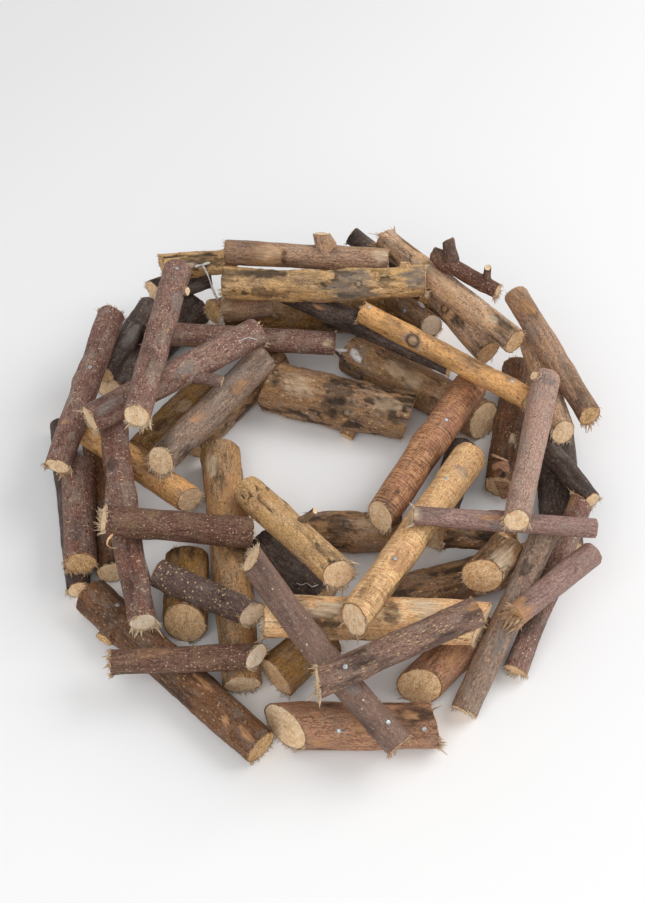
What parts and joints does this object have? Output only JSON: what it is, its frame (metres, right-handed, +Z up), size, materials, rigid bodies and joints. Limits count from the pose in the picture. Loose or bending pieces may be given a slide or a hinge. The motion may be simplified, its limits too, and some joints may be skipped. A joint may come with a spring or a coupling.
{
  "type": "wreath base",
  "caption": "Wreath base of short sawn branch pieces with their bark on, nailed in overlapping layers round an open centre.",
  "frame": {"origin": "on the table, under the middle of the ring's bounding box", "axes": "+Z up, away from the table; +X to the viewer's right and +Y away from the viewer, seen as in the picture"},
  "size_m": [0.4152, 0.4568, 0.1074],
  "materials": {
    "hazel_bark": "natural bark, sawn ends",
    "russet_bark": "natural bark, sawn ends",
    "tan_bark": "natural bark, sawn ends",
    "olive_bark": "natural bark, sawn ends",
    "cherry_bark": "natural bark, sawn ends",
    "ochre_bark": "natural bark, sawn ends",
    "grey_bark": "natural bark, sawn ends",
    "dark_bark": "natural bark, sawn ends"
  },
  "bodies": {
    "root": {"hole_back_log": "tan_bark", "hole_back_right_log": "olive_bark", "hole_left_log": "tan_bark", "right_inner_log": "olive_bark", "hole_right_log": "dark_bark", "hole_front_log": "tan_bark", "front_inner_log": "dark_bark", "left_front_long_log": "tan_bark", "front_olive_log": "olive_bark", "front_log": "russet_bark", "front_left_log": "russet_bark", "left_front_log": "olive_bark", "left_inner_log": "olive_bark", "left_outer_log": "russet_bark", "front_right_cut_log": "russet_bark", "back_left_log": "dark_bark", "back_log": "olive_bark", "right_outer_log": "dark_bark", "front_right_inner_log": "tan_bark", "left_outer_low_stick": "dark_bark", "front_long_log": "tan_bark", "cracked_yellow_stick": "ochre_bark", "ochre_stick": "ochre_bark", "back_left_dark_stick": "dark_bark", "back_left_tan_log": "ochre_bark", "grey_stick": "grey_bark", "dark_left_stick": "dark_bark", "reddish_stick": "russet_bark", "short_lined_log": "hazel_bark", "left_curved_stick": "hazel_bark", "left_outer_stick": "hazel_bark", "ash_log": "hazel_bark", "back_dark_end_stick": "dark_bark", "dark_cross_log": "dark_bark", "short_brown_stick": "russet_bark", "knotted_tan_stick": "hazel_bark", "cherry_stick": "cherry_bark", "right_low_outer_stick": "dark_bark", "right_pale_end_stick": "dark_bark", "short_tan_log": "tan_bark", "thick_cut_log": "dark_bark", "right_long_stick": "hazel_bark", "right_dark_stick": "hazel_bark", "long_tan_stick": "tan_bark", "orange_tan_stick": "cherry_bark", "right_outer_stick": "hazel_bark", "dark_twig": "dark_bark", "left_cross_stick": "hazel_bark", "left_speckled_stick": "hazel_bark", "front_left_cross_stick": "hazel_bark", "twig_stick": "hazel_bark", "upright_stick": "hazel_bark", "reddish_back_stick": "russet_bark", "peeled_top_stick": "ochre_bark", "yellow_top_stick": "ochre_bark", "jutting_purple_stick": "hazel_bark", "thin_purple_stick": "hazel_bark", "grey_purple_stick": "hazel_bark", "diagonal_stick": "hazel_bark", "ridged_bark_stick": "hazel_bark"}
  },
  "joints": []
}
